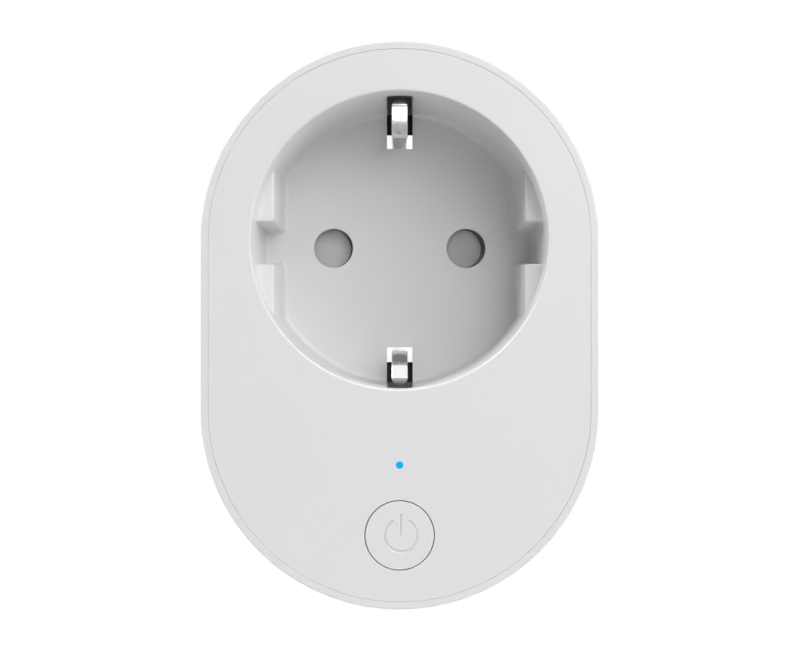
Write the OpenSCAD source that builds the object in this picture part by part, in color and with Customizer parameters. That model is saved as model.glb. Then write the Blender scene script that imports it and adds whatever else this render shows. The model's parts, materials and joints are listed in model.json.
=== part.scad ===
// Smart plug: a type F (CEE 7/3) socket outlet on a type F (CEE 7/4) plug, with a relay,
// a push button, a status light and a shuttered recess with two side earth clips.
// Millimetres. +Z is up, the plug pins point along +Y, the user faces the part from -Y.
// The origin is the centre of the plug's end face, halfway between its two pins.

/* [Body] */
// Width of the body across its straight sides
body_w = 51.6; // [48:0.1:60]
// Height of the straight part between the two half circles
straight = 22.1; // [10:0.1:40]
// Distance from the plug's end face to the front face
front_h = 43.5; // [38:0.1:50]
// Distance from the plug's end face to the back of the body
back_h = 17.5; // [17:0.1:19]
// Wall thickness of the side shell
wall = 2; // [1.5:0.1:3]
// Width of the shell's front lip around the front plate
lip = 0.95; // [0.6:0.05:2]
// Gap between the front plate and the lip
seam = 0.03; // [0.02:0.01:0.3]
// Thickness of the front plate
plate_t = 2.2; // [1.5:0.1:3]
// Radius on the front outer edge
front_edge = 0.3; // [0.1:0.1:1]
// Radius on the back outer edge
back_edge = 2.5; // [0.5:0.1:4]

/* [Socket recess] */
// Depth of the recess
recess_depth = 17.5; // [17:0.1:18]
// Radius of the recess at its mouth
mouth_r = 19.45; // [19:0.05:20]
// Radius of the recess at its floor
floor_r = 19.3; // [19:0.05:20]
// Radius on the rim of the mouth
rim_r = 0.2; // [0.1:0.05:1]
// Radius between wall and floor
foot_r = 0.5; // [0.2:0.1:2]
// Wall thickness of the cup
cup_wall = 1.45; // [1:0.05:2]
// Thickness of the recess floor
floor_t = 1.5; // [1:0.1:3]
// Distance between the two pin holes
pin_pitch = 19; // [19:0.1:19]
// Radius of the pin holes
hole_r = 2.8; // [2.6:0.05:3]
// Half distance between the side blocks at their face
block_x = 16.8; // [16:0.1:18]
// Half distance between the side blocks at the floor
block_x_foot = 16.6; // [16:0.1:18]
// Depth of the side blocks below the front face
block_drop = 5; // [4:0.1:6]
// Half height of the side blocks
block_z = 10; // [9:0.1:11]
// Half width of the keyway at the block face
key_z = 2.85; // [2:0.05:4]
// Half width of the keyway at the floor
key_z_foot = 2.4; // [2:0.05:4]
// Width of each earth clip slot at the floor
slot_w = 3.7; // [3:0.1:5]
// Width of each earth clip slot at its top
slot_w_top = 3.46; // [3:0.02:5]
// Radius where each slot starts in the floor
slot_r = 14.2; // [13:0.1:16]
// Radius where each slot ends in the floor
slot_r_out = 19.3; // [18:0.1:20]
// Depth of the slot's top below the front face
slot_drop = 3.5; // [2:0.1:6]
// Radius of the pocket wall behind each clip
pocket_r = 21.6; // [20:0.1:22]

/* [Plug] */
// Radius of the plug body
boss_r = 18.5; // [18:0.1:18.7]
// Half width across the plug's side flats
boss_flat = 16.4; // [16:0.1:16.5]
// Half width of the plug's side ribs
boss_rib = 2.2; // [2:0.1:2.6]
// Length of the flats from the end face
boss_flat_h = 13; // [12:0.1:14]
// Radius of the plug pins
pin_r = 2.4; // [2.4:0.1:2.4]
// Length of the plug pins
pin_len = 19; // [19:0.1:19]
// Rounding at the pin tips
pin_tip = 1.2; // [0.5:0.1:2]
// Radius of the pins inside the end wall
pin_neck = 1.9; // [1.8:0.05:2.2]
// Radius of the floor of the plug's earth grooves
groove_r = 15; // [14.5:0.1:17]
// Width of the plug's earth grooves
groove_w = 5.4; // [4:0.1:7]

/* [Button and light] */
// Button centre below the socket axis
button_drop = 38.2; // [36:0.1:40]
// Radius of the button
button_r = 4.48; // [4:0.02:6]
// Gap around the button
button_gap = 0.08; // [0.05:0.01:0.4]
// How far the button travels
button_travel = 0.35; // [0.2:0.05:1]
// Radius of the ring of the power symbol
symbol_r = 2.3; // [1.5:0.1:4]
// Line width of the power symbol
symbol_w = 0.38; // [0.2:0.02:0.8]
// Depth of the power symbol
symbol_d = 0.12; // [0.05:0.01:0.5]
// Status light below the socket axis
light_drop = 29.1; // [27:0.1:32]
// Radius of the status light
light_r = 0.48; // [0.3:0.02:1]

/* [Earth clips] */
// Width of each clip
clip_w = 2.15; // [1.5:0.05:3]
// Thickness of each clip
clip_t = 0.5; // [0.3:0.05:1]
// Radius of the bulge that touches the plug
clip_in = 14.5; // [14:0.1:16]
// Bending radius of the bulge
clip_bend = 2.5; // [2:0.1:6]
// Height of the bulge above the plug's end face
clip_bulge_h = 34.7; // [30:0.1:38]
// Radius of the clip's tip
clip_tip = 19; // [18:0.1:19.3]
// Slope of the steep part above the bulge
clip_steep = 52; // [45:1:60]
// Slope of the lead-in
clip_slope = 35; // [20:1:45]
// Thickness of the earth strap
strap_t = 0.8; // [0.5:0.1:1.2]

/* [Shutter] */
// Travel of the shutter
shutter_travel = 5.9; // [5:0.1:7]
// Offset of the closing pads from the pin holes
pad_shift = 0.37; // [0:0.01:0.6]
// Outer radius of the shutter spring
spring_r = 1.05; // [0.8:0.05:1.5]
// Wire radius of the shutter spring
spring_wire = 0.16; // [0.1:0.02:0.3]
// Turns of the shutter spring
spring_turns = 11; // [6:1:16]

/* [Electronics] */
// Back face of the power board
board_h = 21.6; // [21:0.1:24]
// Thickness of the power board
board_t = 1.6; // [0.8:0.1:2]
// Back face of the control board
control_h = 36; // [34:0.1:38]
// Thickness of the control board
control_t = 1; // [0.8:0.1:1.6]

/* [Hidden] */
$fn = 96;
body_r = body_w / 2;
plate_r = body_r - lip - seam;
inner_r = body_r - wall;
joint_h = back_h + 3;
floor_h = front_h - recess_depth;
floor_back = floor_h - floor_t;
cup_r = mouth_r + cup_wall;
block_h = front_h - block_drop;
plate_back = front_h - plate_t;
pin_x = pin_pitch / 2;
post_r = 1.8;
post_a = 40;
post_ring = 21.9;
post_x = post_ring * cos(post_a);
post_z = post_ring * sin(post_a);
side_post_x = 21.4;
side_post_z = -24.6;
board_top = board_h + board_t;
control_top = control_h + control_t;
slider_h = floor_back - 2.9;
slider_t = 1;
slider_w = 3.4;
pad_h = floor_h - 2.5;
guide_h = 20.6;
guide_t = 0.9;
strap_h = 16;
foot_top = floor_back;
eps = 0.01;

// Local frame of every piece: X to the right, Y up, Z from the plug's end towards the user.
module face() { rotate([90, 0, 0]) children(); }

module outline(r) {
  circle(r);
  translate([0, -straight]) circle(r);
  translate([-r, -straight]) square([2 * r, straight]);
}

module slab(r, h0, h1) { translate([0, 0, h0]) linear_extrude(h1 - h0) outline(r); }

// Carries a profile, drawn as radius and height, once around the body's outline.
module around() {
  rotate_extrude(angle = 180) children();
  translate([0, -straight, 0]) rotate([0, 0, 180]) rotate_extrude(angle = 180) children();
  rotate([90, 0, 0]) linear_extrude(straight) {
    children();
    mirror([1, 0]) children();
  }
}

module block(x0, x1, z0, z1, h0, h1) { translate([x0, z0, h0]) cube([x1 - x0, z1 - z0, h1 - h0]); }

module disc(x, z, r, h0, h1) { translate([x, z, h0]) cylinder(r = r, h = h1 - h0); }

module lying_x(x0, x1, z, h, r) { translate([x0, z, h]) rotate([0, 90, 0]) cylinder(r = r, h = x1 - x0); }

module both_sides() {
  children();
  mirror([1, 0, 0]) children();
}

module post_centres() {
  for (s = [-1, 1]) {
    translate([s * post_x, post_z, 0]) children();
    translate([s * side_post_x, side_post_z, 0]) children();
  }
}

// ---- shell ----
module housing() {
  color([0.93, 0.93, 0.93]) face() around() difference() {
    union() {
      translate([body_r - wall, joint_h]) square([wall, front_h - front_edge - joint_h]);
      translate([body_r - wall, joint_h]) square([wall - front_edge, front_h - joint_h]);
      translate([body_r - front_edge, front_h - front_edge]) circle(front_edge, $fn = 32);
    }
    translate([body_r - wall - 1, plate_back - seam]) square([wall + 1 - lip, plate_t + 1]);
    translate([body_r - 1.45, joint_h - 1]) square([0.7, 1.9]);
  }
}

module recess_profile() {
  polygon([[0, floor_h], [floor_r - foot_r, floor_h], [floor_r - foot_r, floor_h + foot_r],
    [floor_r, floor_h + foot_r], [mouth_r, front_h - rim_r], [mouth_r, front_h + 1], [0, front_h + 1]]);
  intersection() {
    translate([floor_r - foot_r, floor_h + foot_r]) circle(foot_r, $fn = 32);
    translate([floor_r - foot_r, floor_h]) square(foot_r);
  }
  difference() {
    translate([mouth_r - 0.1, front_h - rim_r]) square([rim_r + 0.1, rim_r + 1]);
    translate([mouth_r + rim_r, front_h - rim_r]) circle(rim_r, $fn = 32);
  }
}

// One pair of guide blocks with the keyway between them.
module guide_blocks() {
  intersection() {
    translate([0, 0, floor_h - eps]) cylinder(r = mouth_r + 0.4, h = block_h - floor_h + eps);
    difference() {
      translate([0, block_z, 0]) rotate([90, 0, 0]) linear_extrude(2 * block_z) {
        polygon([[block_x_foot, floor_h - eps], [block_x, block_h - 0.5], [block_x + 0.5, block_h - 0.5],
          [block_x + 0.5, block_h], [22, block_h], [22, floor_h - eps]]);
        translate([block_x + 0.5, block_h - 0.5]) circle(0.5, $fn = 32);
      }
      rotate([90, 0, 90]) linear_extrude(30)
        polygon([[-key_z_foot, floor_h - 1], [-key_z, block_h + 1], [key_z, block_h + 1], [key_z_foot, floor_h - 1]]);
    }
  }
}

// A rail with a ledge that holds one edge of the shutter.
module rail(x0, x1, side) {
  scale([1, side, 1]) {
    block(x0, x1, slider_w + 0.1, 4.7, slider_h, floor_back + eps);
    block(x0, x1, hole_r + 0.15, slider_w + 0.2, slider_h + slider_t + 0.1, floor_back + eps);
  }
}

module front_cover() {
  color([0.94, 0.94, 0.94]) face() difference() {
    union() {
      difference() {
        union() {
          slab(plate_r, plate_back, front_h);
          disc(0, 0, cup_r, floor_back, plate_back + eps);
          for (s = [-1, 1]) scale([1, s, 1]) block(-3.2, 3.2, 18.5, pocket_r + 1.2, floor_back, plate_back + eps);
          post_centres() disc(0, 0, post_r, joint_h, plate_back + eps);
        }
        rotate_extrude() recess_profile();
      }
      both_sides() guide_blocks();
      // rails that guide the shutter, and the anchor of its spring
      rail(-19, 19, -1);
      rail(-19, 0.4, 1);
      rail(8.9, 19, 1);
      block(-11.4, -10.2, 4.9, 7.4, slider_h, floor_back + eps);
      for (s = [-1, 1]) {
        disc(s * 18, 6.4, 1.3, guide_h + guide_t, floor_back + eps);
        disc(s * 14, -27.6, 1.5, control_top, plate_back + eps);
        disc(s * 9, -41.6, 1.5, control_top, plate_back + eps);
      }
    }
    for (s = [-1, 1]) {
      disc(s * pin_x, 0, hole_r, floor_back - 1, floor_h + 1);
      disc(s * 18, 6.4, 0.55, guide_h, floor_back - 0.6);
      scale([1, s, 1]) {
        block(-slot_w / 2, slot_w / 2, slot_r, slot_r_out, floor_back - 1, floor_h + 1);
        translate([0, pocket_r, 0]) rotate([90, 0, 0]) linear_extrude(pocket_r - slot_r)
          polygon([[-slot_w / 2, floor_h], [slot_w / 2, floor_h], [slot_w_top / 2, front_h - slot_drop], [-slot_w_top / 2, front_h - slot_drop]]);
      }
    }
    disc(0, -button_drop, button_r + button_gap, plate_back - 1, front_h + 1);
    disc(0, -light_drop, light_r + 0.02, plate_back - 1, front_h + 1);
    post_centres() disc(0, 0, 0.85, joint_h - 1, joint_h + 9);
  }
}

module boss_outline(r) {
  intersection() {
    circle(r);
    union() {
      square([2 * boss_flat, 60], center = true);
      square([60, 2 * boss_rib], center = true);
    }
  }
}

module rear_cover() {
  color([0.92, 0.92, 0.92]) face() difference() {
    union() {
      slab(body_r - back_edge, back_h, joint_h);
      around() {
        translate([0, back_h + back_edge]) square([body_r, joint_h - back_h - back_edge]);
        translate([body_r - back_edge, back_h + back_edge]) intersection() {
          circle(back_edge);
          translate([0, -back_edge]) square(back_edge);
        }
      }
      around() translate([body_r - 1.4, joint_h - eps]) square([0.6, 0.8]);
    }
    disc(0, 0, boss_r + 0.02, back_h - 1, joint_h + 1);
    guide_screw_pockets();
    post_centres() {
      disc(0, 0, 1.9, back_h - 1, back_h + 1.7);
      disc(0, 0, 0.95, back_h, joint_h + 1);
    }
  }
}

module guide_screw_pockets() { for (s = [-1, 1]) disc(s * 18, 6.4, 1.4, joint_h - 0.8, joint_h + 1); }

// ---- plug ----
module plug_body() {
  color([0.92, 0.92, 0.92]) face() difference() {
    union() {
      linear_extrude(boss_flat_h) boss_outline(boss_r);
      disc(0, 0, boss_r, boss_flat_h - eps, joint_h);
    }
    intersection() {
      disc(0, 0, boss_r - 2, 2.5, joint_h + 1);
      block(-14.6, 14.6, 1.6 - groove_r, groove_r - 1.6, 2, joint_h + 2);
    }
    guide_screw_pockets();
    for (s = [-1, 1]) {
      disc(s * pin_x, 0, pin_neck + 0.03, -1, 4);
      disc(s * pin_x, 0, pin_r + 0.05, -1, 0.6);
      scale([1, s, 1]) {
        block(-groove_w / 2, groove_w / 2, groove_r, 20, -1, 16.1);
        block(-2.35, 2.35, groove_r - 2, groove_r + 1, strap_h - strap_t - 0.05, strap_h + 0.05);
      }
    }
  }
}

module pin(x) {
  translate([x, 0, 0]) rotate_extrude() {
    polygon([[0, -pin_len], [pin_r - pin_tip, -pin_len], [pin_r - pin_tip, pin_tip - pin_len],
      [pin_r, pin_tip - pin_len], [pin_r, 0], [pin_neck, 0], [pin_neck, 2.5], [3.2, 2.5], [3.2, 3.7], [1.5, 3.7], [1.5, 5.3], [0, 5.3]]);
    intersection() {
      translate([pin_r - pin_tip, pin_tip - pin_len]) circle(pin_tip, $fn = 48);
      translate([pin_r - pin_tip, -pin_len]) square(pin_tip);
    }
  }
}

module live_pin() { color([0.80, 0.80, 0.81]) face() pin(-pin_x); }

module neutral_pin() { color([0.80, 0.80, 0.81]) face() pin(pin_x); }

module plug_earth() {
  difference() {
    union() {
      block(-2.3, 2.3, groove_r, groove_r + strap_t, 1, strap_h);
      block(-2.3, 2.3, 5.6, groove_r + eps, strap_h - strap_t, strap_h);
      translate([-2.3, 0, 0]) rotate([90, 0, 90]) linear_extrude(4.6)
        polygon([[groove_r + strap_t - eps, 3], [groove_r + strap_t + 0.2, 6], [groove_r + strap_t + 0.2, 10], [groove_r + strap_t - eps, 13]]);
    }
    disc(0, 8, 0.85, strap_h - 2, strap_h + 1);
  }
}

module plug_earth_upper() { color([0.86, 0.84, 0.78]) face() plug_earth(); }

module plug_earth_lower() { color([0.86, 0.84, 0.78]) face() mirror([0, 1, 0]) plug_earth(); }

// ---- earthing ----
module earth_strap() {
  color([0.87, 0.87, 0.86]) face() difference() {
    union() {
      block(-2.5, 2.5, -12.7, 12.7, strap_h, strap_h + strap_t);
      for (s = [-1, 1]) scale([1, s, 1]) {
        block(-2.5, 2.5, 11.9, 12.7, strap_h, foot_top);
        block(-2.5, 2.5, 11.9, 16.35, foot_top - strap_t, foot_top);
      }
    }
    for (s = [-1, 1]) disc(0, s * 8, 0.85, strap_h - 1, strap_h + 2);
  }
}

function arc(cx, cy, r, a0, a1, n) = [for (i = [0 : n]) [cx + r * cos(a0 + (a1 - a0) * i / n), cy + r * sin(a0 + (a1 - a0) * i / n)]];

// The outer side of a clip as radius and height: root, inward bulge, steep part, lead-in, turned-down tip.
clip_root_r = 16.3;
clip_root_h = foot_top + 0.1;
clip_cx = clip_in + clip_bend;
leg_dr = clip_cx - clip_root_r;
leg_dh = clip_bulge_h - clip_root_h;
leg_d = sqrt(leg_dr * leg_dr + leg_dh * leg_dh);
leg_a = 180 + atan2(leg_dh, leg_dr) - acos(clip_bend / leg_d);
steep_r = clip_cx - clip_bend * sin(clip_steep);
steep_h = clip_bulge_h + clip_bend * cos(clip_steep);
knee_r = 16.3;
knee_h = steep_h + (knee_r - steep_r) * tan(clip_steep);
nose_bend = 0.65;
nose_cx = clip_tip - nose_bend;
nose_r = nose_cx - nose_bend * sin(clip_slope);
nose_h = knee_h + (nose_r - knee_r) * tan(clip_slope);
nose_ch = nose_h - nose_bend * cos(clip_slope);

// The knee and the two straight parts, moved in by the thickness t.
function knee(t) = [knee_r + t * sin((clip_steep + clip_slope) / 2), knee_h - t * cos((clip_steep + clip_slope) / 2)];

module clip() {
  intersection() {
    translate([-clip_w / 2, 0, 0]) rotate([90, 0, 90]) linear_extrude(clip_w) polygon(concat(
      [[clip_root_r, clip_root_h]],
      arc(clip_cx, clip_bulge_h, clip_bend, leg_a, 90 + clip_steep, 12),
      [knee(0)],
      arc(nose_cx, nose_ch, nose_bend, 90 + clip_slope, 0, 10),
      [[clip_tip, nose_ch - 0.4], [clip_tip - clip_t, nose_ch - 0.4]],
      arc(nose_cx, nose_ch, nose_bend - clip_t, 0, 90 + clip_slope, 6),
      [knee(clip_t)],
      arc(clip_cx, clip_bulge_h, clip_bend - clip_t, 90 + clip_steep, leg_a, 10),
      [[clip_root_r + clip_t, clip_root_h]]));
    linear_extrude(60) {
      translate([-clip_w / 2, 10]) square([clip_w, clip_tip - 1 - 10]);
      translate([0, clip_tip - 1.07]) circle(clip_w / 2);
    }
  }
}

module upper_earth_clip() { color([0.87, 0.87, 0.86]) face() clip(); }

module lower_earth_clip() { color([0.87, 0.87, 0.86]) face() mirror([0, 1, 0]) clip(); }

module strap_rivets() {
  color([0.8, 0.75, 0.6]) face() for (s = [-1, 1]) {
    disc(0, s * 8, 0.8, strap_h - strap_t - 0.5, strap_h + strap_t + 0.5);
    disc(0, s * 8, 1.5, strap_h - strap_t - 0.5, strap_h - strap_t);
    disc(0, s * 8, 1.5, strap_h + strap_t, strap_h + strap_t + 0.5);
  }
}

// Black blocks that back the strap's feet and close the slots from behind.
module strap_pads() {
  color([0.10, 0.10, 0.11]) face() for (s = [-1, 1]) scale([1, s, 1])
    block(-4.5, 4.5, 13, 20.3, joint_h, foot_top - strap_t - 0.05);
}

// ---- live and neutral contacts ----
module contact() {
  difference() {
    disc(pin_x, 0, 3.15, 7.5, 19.6);
    disc(pin_x, 0, 2.45, 7, 20);
    block(pin_x - 0.4, pin_x + 0.4, 1, 4, 7, 20);
  }
  block(pin_x - 1.2, pin_x + 1.2, -11.5, -2.9, 18.8, 19.6);
  block(pin_x - 1.2, pin_x + 1.2, -11.5, -10.7, 18.8, board_h);
  block(pin_x - 1.2, pin_x + 1.2, -26, -10.7, board_h - 0.8, board_h);
}

module live_contact() { color([0.85, 0.68, 0.35]) face() mirror([1, 0, 0]) contact(); }

module neutral_contact() { color([0.85, 0.68, 0.35]) face() contact(); }

module contact_carrier() {
  color([0.16, 0.16, 0.17]) face() difference() {
    union() {
      block(-13.6, 13.6, -5, 5, 5.6, 6.6);
      for (s = [-1, 1]) scale([1, s, 1]) block(-3, 3, 3.8, 5, 2.5, 5.7);
      both_sides() disc(pin_x, 0, 4.1, 5.6, 18.5);
    }
    both_sides() disc(pin_x, 0, 3.25, 6.6, 20);
    both_sides() disc(pin_x, 0, 1.8, 5, 7);
  }
}

module busbar() {
  difference() {
    block(7.5, 13.8, -2.2, 2.2, 3.7, 4.5);
    disc(pin_x, 0, 1.55, 3, 6);
  }
  block(11.8, 13.8, -8.8, -2.1, 3.7, 4.5);
  block(11.8, 13.8, -8.8, -8, 3.7, board_h);
  block(11.8, 13.8, -26, -8, board_h - 0.8, board_h);
}

module live_busbar() { color([0.80, 0.50, 0.30]) face() mirror([1, 0, 0]) busbar(); }

module neutral_busbar() { color([0.80, 0.50, 0.30]) face() busbar(); }

// ---- shutter ----
module shutter_slider() {
  color([0.90, 0.90, 0.90]) face() difference() {
    union() {
      block(-14, 19.3, -slider_w, slider_w, slider_h, slider_h + slider_t);
      for (s = [-1, 1]) disc(s * pin_x - pad_shift, 0, hole_r, slider_h, pad_h);
      block(7, 8.2, slider_w - 0.1, 7.3, slider_h, slider_h + slider_t + 0.7);
    }
    for (s = [-1, 1]) disc(s * pin_x + shutter_travel, 0, pin_r + 0.3, slider_h - 1, pad_h + 1);
  }
}

spring_x0 = -10.1;
spring_x1 = 6.9;

module shutter_spring() {
  color([0.75, 0.75, 0.77]) face() translate([spring_x0, 6.1, slider_h + 1.1]) rotate([0, 90, 0])
    linear_extrude(spring_x1 - spring_x0, twist = 360 * spring_turns, slices = 14 * spring_turns, $fn = 10)
      translate([spring_r - spring_wire, 0]) scale([1, 2.6]) circle(spring_wire);
}

module shutter_guide() {
  color([0.86, 0.86, 0.86]) face() difference() {
    block(-20.4, 20.4, -4.8, 8, guide_h, guide_h + guide_t);
    for (s = [-1, 1]) {
      disc(s * pin_x, 0, 2.8, guide_h - 1, guide_h + 2);
      disc(s * 18, 6.4, 0.7, guide_h - 1, guide_h + 2);
    }
  }
}

module guide_screws() {
  color([0.7, 0.7, 0.72]) face() for (s = [-1, 1]) {
    disc(s * 18, 6.4, 1.1, guide_h - 0.7, guide_h);
    disc(s * 18, 6.4, 0.5, guide_h - 0.1, floor_back - 0.9);
  }
}

// ---- button and light ----
module power_button() {
  color([0.92, 0.92, 0.92]) face() translate([0, -button_drop, 0]) difference() {
    union() {
      disc(0, 0, button_r, plate_back - 0.3, front_h);
      disc(0, 0, button_r + 0.7, plate_back - 1.1, plate_back - 0.25);
      disc(0, 0, 1.2, 39.4, plate_back - 1);
    }
    translate([0, 0, front_h - symbol_d]) linear_extrude(1) {
      difference() {
        circle(symbol_r);
        circle(symbol_r - symbol_w);
        polygon([[0, 0], [-4 * tan(28), 4], [4 * tan(28), 4]]);
      }
      translate([-symbol_w / 2, -0.1]) square([symbol_w, 2.9]);
    }
  }
}

module light_pipe() {
  color([0.55, 0.80, 0.98]) face() {
    disc(0, -light_drop, light_r, 37.8, front_h);
    disc(0, -light_drop, 1.1, 40, plate_back);
  }
}

module status_led() { color([0.2, 0.6, 0.98]) face() block(-0.8, 0.8, -light_drop - 0.4, -light_drop + 0.4, control_top, 37.65); }

module switch_body() {
  color([0.12, 0.12, 0.13]) face() difference() {
    block(-2.3, 2.3, -button_drop - 2.3, -button_drop + 2.3, control_top, 38.6);
    disc(0, -button_drop, 1.15, 37.4, 39);
  }
}

module switch_plunger() { color([0.3, 0.3, 0.32]) face() disc(0, -button_drop, 1.1, 37.9, 39.4); }

// ---- boards ----
module board_shape(r, top, bottom, side) {
  intersection() {
    outline(r);
    translate([-side, bottom]) square([2 * side, top - bottom]);
  }
}

module power_board() {
  color([0.10, 0.36, 0.20]) face() translate([0, 0, board_h]) linear_extrude(board_t)
    board_shape(inner_r - 0.5, -23.6, -60, 19.1);
}

module control_board() {
  color([0.10, 0.36, 0.20]) face() translate([0, 0, control_h]) linear_extrude(control_t)
    board_shape(inner_r - 0.6, -25.2, -60, 19);
}

module wifi_board() { color([0.08, 0.10, 0.30]) face() block(2, 16, -36.4, -25.6, control_h - 0.8, control_h); }

module wifi_shield() { color([0.8, 0.8, 0.8]) face() block(3, 13, -35.4, -26.6, control_h - 3, control_h - 0.8); }

module board_link() {
  color([0.14, 0.14, 0.15]) face() block(-2, 0, -33, -25, board_top, board_top + 2.5);
  color([0.85, 0.7, 0.35]) face() for (i = [0 : 3]) block(-1.3, -0.7, -32.3 + 2 * i, -31.7 + 2 * i, board_top + 2.4, control_h);
}

// ---- relay ----
module relay_base() { color([0.12, 0.12, 0.13]) face() block(-18.4, -3, -35.2, -24.4, board_top, board_top + 1.4); }

module relay_case() {
  color([0.16, 0.16, 0.18]) face() difference() {
    block(-18.4, -3, -35.2, -24.4, board_top + 1.4, 33.8);
    block(-17.8, -3.6, -34.6, -25, board_top + 1, 33.2);
  }
}

module relay_coil() {
  color([0.70, 0.36, 0.16]) face() difference() {
    lying_x(-16.6, -9.2, -29.8, board_top + 5, 3.2);
    lying_x(-17, -9, -29.8, board_top + 5, 1.3);
  }
}

module relay_yoke() {
  color([0.62, 0.62, 0.64]) face() {
    lying_x(-16.9, -8.6, -29.8, board_top + 5, 1.25);
    block(-17.5, -16.7, -32.6, -27, board_top + 1.5, board_top + 9.2);
    block(-16.8, -8.6, -32.6, -27, board_top + 8.5, board_top + 9.2);
  }
}

// A plate that swings onto the coil's pole, and carries the moving contact, when the relay pulls in.
module relay_armature() {
  color([0.66, 0.66, 0.68]) face() {
    block(-8.1, -7.4, -32.2, -27.4, board_top + 2.4, board_top + 8.6);
    block(-8.1, -7.4, -34.3, -32.1, board_top + 2.4, board_top + 4.4);
  }
}

module relay_contacts() {
  color([0.82, 0.62, 0.32]) face() {
    block(-9.6, -9.1, -34.5, -33.2, board_top + 1.4, board_top + 4.8);
    lying_x(-9.2, -8.5, -33.85, board_top + 3.4, 0.6);
  }
}

// ---- power parts ----
module bulk_capacitor() {
  color([0.12, 0.14, 0.22]) face() {
    disc(6.5, -39.4, 3.9, board_top, board_top + 10.6);
    disc(6.5, -39.4, 3.3, board_top + 10.5, board_top + 10.8);
  }
}

module x_capacitor() { color([0.90, 0.75, 0.15]) face() block(13.4, 18, -35.2, -25.4, board_top, board_top + 9); }

module varistor() {
  color([0.20, 0.35, 0.70]) face() translate([-11, -36.4, board_top + 4.6]) rotate([90, 0, 0]) cylinder(r = 3.4, h = 2.6);
  color([0.20, 0.35, 0.70]) face() for (x = [-13, -9.6]) block(x, x + 0.6, -38, -37.4, board_top, board_top + 3.2);
}

module fuse() { color([0.85, 0.85, 0.80]) face() lying_x(-8.8, -1.2, -41.9, board_top + 1.9, 1.7); }

module transformer_core() {
  color([0.22, 0.22, 0.23]) face() difference() {
    block(1.2, 11.2, -34.4, -25.2, board_top + 1, board_top + 8.6);
    block(0, 12, -32.8, -26.8, board_top + 2.2, board_top + 7.4);
  }
}

module transformer_winding() {
  color([0.85, 0.70, 0.25]) face() {
    block(0.5, 11.9, -32.6, -27, board_top + 2.4, board_top + 7.2);
    block(0.5, 11.9, -32.6, -27, board_top, board_top + 0.9);
    block(0.5, 1.1, -32.6, -27, board_top, board_top + 7.2);
    block(11.3, 11.9, -32.6, -27, board_top, board_top + 7.2);
  }
}

module choke() { color([0.25, 0.45, 0.30]) face() disc(-0.6, -37.4, 2, board_top, board_top + 7); }

module rectifier() { color([0.10, 0.10, 0.11]) face() block(11.2, 14.6, -40, -37, board_top, board_top + 1.6); }

module shunt() { color([0.72, 0.55, 0.45]) face() block(8.2, 12.6, -25.1, -24.1, board_top, board_top + 0.8); }

module cover_screws() {
  color([0.72, 0.72, 0.74]) face() post_centres() {
    disc(0, 0, 0.8, back_h + 1.6, back_h + 11);
    difference() {
      disc(0, 0, 1.7, back_h + 0.4, back_h + 1.7);
      block(-1.1, 1.1, -0.2, 0.2, back_h, back_h + 0.9);
      block(-0.2, 0.2, -1.1, 1.1, back_h, back_h + 0.9);
    }
  }
}

housing();
front_cover();
rear_cover();
plug_body();
live_pin();
neutral_pin();
plug_earth_upper();
plug_earth_lower();
earth_strap();
upper_earth_clip();
lower_earth_clip();
strap_rivets();
strap_pads();
live_contact();
neutral_contact();
contact_carrier();
shutter_slider();
shutter_spring();
shutter_guide();
guide_screws();
power_button();
light_pipe();
status_led();
switch_body();
switch_plunger();
control_board();
wifi_board();
wifi_shield();
power_board();
relay_base();
relay_case();
relay_coil();
relay_yoke();
relay_armature();
relay_contacts();
bulk_capacitor();
x_capacitor();
varistor();
fuse();
transformer_core();
transformer_winding();
choke();
rectifier();
shunt();
board_link();
live_busbar();
neutral_busbar();
cover_screws();
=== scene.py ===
import json
import math

import bmesh
import bpy
from mathutils import Matrix, Vector


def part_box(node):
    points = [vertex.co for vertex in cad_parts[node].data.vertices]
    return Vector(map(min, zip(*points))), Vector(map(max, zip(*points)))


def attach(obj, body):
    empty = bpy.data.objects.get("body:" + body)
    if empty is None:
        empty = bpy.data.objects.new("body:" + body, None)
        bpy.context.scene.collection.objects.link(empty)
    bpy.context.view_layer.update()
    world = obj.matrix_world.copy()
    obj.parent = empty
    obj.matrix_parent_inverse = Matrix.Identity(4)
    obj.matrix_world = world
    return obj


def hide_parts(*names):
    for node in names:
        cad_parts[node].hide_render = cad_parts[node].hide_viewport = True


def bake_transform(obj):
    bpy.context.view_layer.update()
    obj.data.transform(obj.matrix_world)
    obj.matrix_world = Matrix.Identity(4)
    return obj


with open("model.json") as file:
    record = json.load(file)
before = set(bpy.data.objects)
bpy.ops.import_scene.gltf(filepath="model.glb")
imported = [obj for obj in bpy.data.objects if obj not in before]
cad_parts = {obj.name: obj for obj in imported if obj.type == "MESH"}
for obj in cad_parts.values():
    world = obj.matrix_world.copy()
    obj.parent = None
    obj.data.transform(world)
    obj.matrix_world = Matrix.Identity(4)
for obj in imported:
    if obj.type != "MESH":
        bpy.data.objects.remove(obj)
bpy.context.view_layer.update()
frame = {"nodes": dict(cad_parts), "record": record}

# ------------------------------------------------------------------ frame
# Shapes are drawn in millimetres as (x, y, h): x to the right, y up, h from the
# plug's end face towards the user. LOCAL carries them into the shared frame, in metres.
LOCAL = Matrix(((1, 0, 0, 0), (0, 0, -1, 0), (0, 1, 0, 0), (0, 0, 0, 1))) @ Matrix.Scale(0.001, 4)

def middle(node, axis):
    """The middle of a CAD node along one of the frame's axes, in millimetres."""
    lo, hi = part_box(node)
    return (lo[axis] + hi[axis]) * 500


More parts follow.
